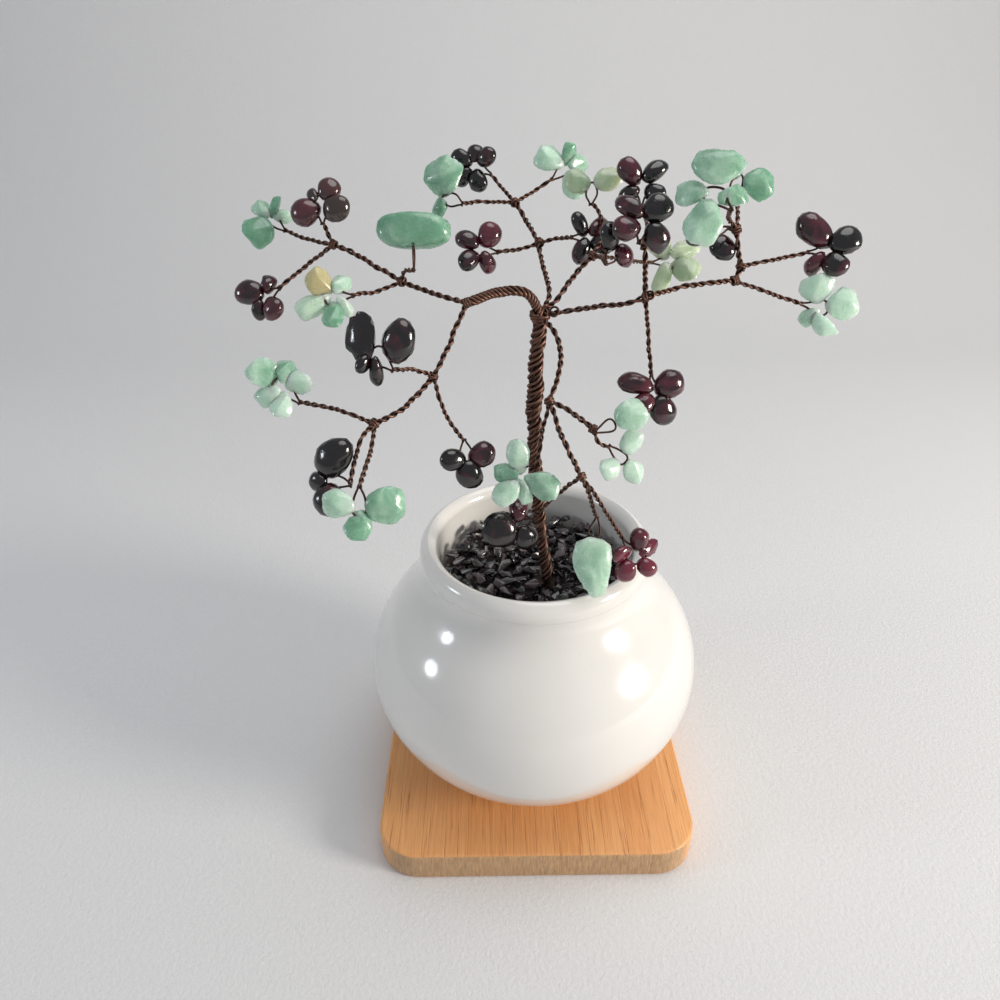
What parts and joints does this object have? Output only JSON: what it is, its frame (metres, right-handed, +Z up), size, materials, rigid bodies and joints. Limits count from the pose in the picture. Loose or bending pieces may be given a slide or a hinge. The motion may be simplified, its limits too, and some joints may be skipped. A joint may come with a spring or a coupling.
{
  "type": "gemstone tree ornament",
  "caption": "Small wire tree hung with drilled garnet and green quartz chips, rooted in a round white ceramic pot that stands on a square bamboo board.",
  "frame": {"origin": "centre of the board's underside", "axes": "+Z up, -Y towards the side the tree is viewed from, +X to that viewer's right"},
  "size_m": [0.121, 0.08, 0.1551],
  "materials": {
    "bamboo": "matt",
    "white_glaze": "gloss",
    "plaster": "matt",
    "dark_gravel": "polished",
    "antique_copper": "antique",
    "garnet": "polished",
    "green_quartz": "polished",
    "pale_quartz": "polished"
  },
  "bodies": {
    "board": {"bamboo_board": "bamboo"},
    "pot": {"ceramic_pot": "white_glaze", "plaster_fill": "plaster", "gravel_chips": "dark_gravel", "trunk_strands": "antique_copper", "crown_knot": "antique_copper", "left_bough_wires": "antique_copper", "upper_left_branch_wires": "antique_copper", "lower_left_branch_wires": "antique_copper", "back_branch_wires": "antique_copper", "middle_branch_wires": "antique_copper", "right_branch_wires": "antique_copper", "right_tip_wires": "antique_copper", "front_branch_wires": "antique_copper", "upper_left_garnets": "garnet", "left_garnets": "garnet", "middle_left_garnets": "garnet", "low_left_garnets": "garnet", "inner_left_garnets": "garnet", "back_top_garnets": "garnet", "upper_middle_garnets": "garnet", "crown_middle_garnets": "garnet", "front_crown_garnet_pair": "garnet", "high_right_garnets": "garnet", "right_crown_garnets": "garnet", "inner_right_garnets": "garnet", "far_right_garnets": "garnet", "middle_right_garnets": "garnet", "low_front_garnets": "garnet", "lip_garnets": "garnet", "far_left_green_chips": "green_quartz", "left_quartz_chips": "green_quartz", "lower_left_green_chips": "green_quartz", "low_left_green_chips": "green_quartz", "upper_green_chip_pair": "green_quartz", "top_green_chips": "green_quartz", "high_right_green_chips": "green_quartz", "far_right_green_pair": "green_quartz", "right_green_chips": "green_quartz", "front_green_chips": "green_quartz", "trunk_green_chips": "green_quartz", "pale_top_chips": "pale_quartz", "pale_back_chips": "pale_quartz"},
    "long_green_stone": {"long_green_stone": "green_quartz"},
    "front_loose_green_stone": {"front_loose_green_stone": "green_quartz"},
    "hanging_green_stone": {"hanging_green_stone": "green_quartz"}
  },
  "joints": [
    {"name": "pot_lift", "type": "slide", "parent": "board", "child": "pot", "axis": [0, 0, 1], "range_m": [0, 0.06]},
    {"name": "long_green_stone_swing", "type": "hinge", "parent": "pot", "child": "long_green_stone", "pos_m": [-0.0234, -0.00141, 0.13764], "axis": [0, -0.8517, 0.524], "range_deg": [-20, 20]},
    {"name": "front_loose_green_stone_swing", "type": "hinge", "parent": "pot", "child": "front_loose_green_stone", "pos_m": [0.01327, -0.01838, 0.10956], "axis": [-0.4226, 0.4749, 0.7719], "range_deg": [-20, 20]},
    {"name": "hanging_green_stone_swing", "type": "hinge", "parent": "pot", "child": "hanging_green_stone", "pos_m": [0.0105, -0.02024, 0.08551], "axis": [0.9848, -0.091, -0.1479], "range_deg": [-20, 20]}
  ]
}
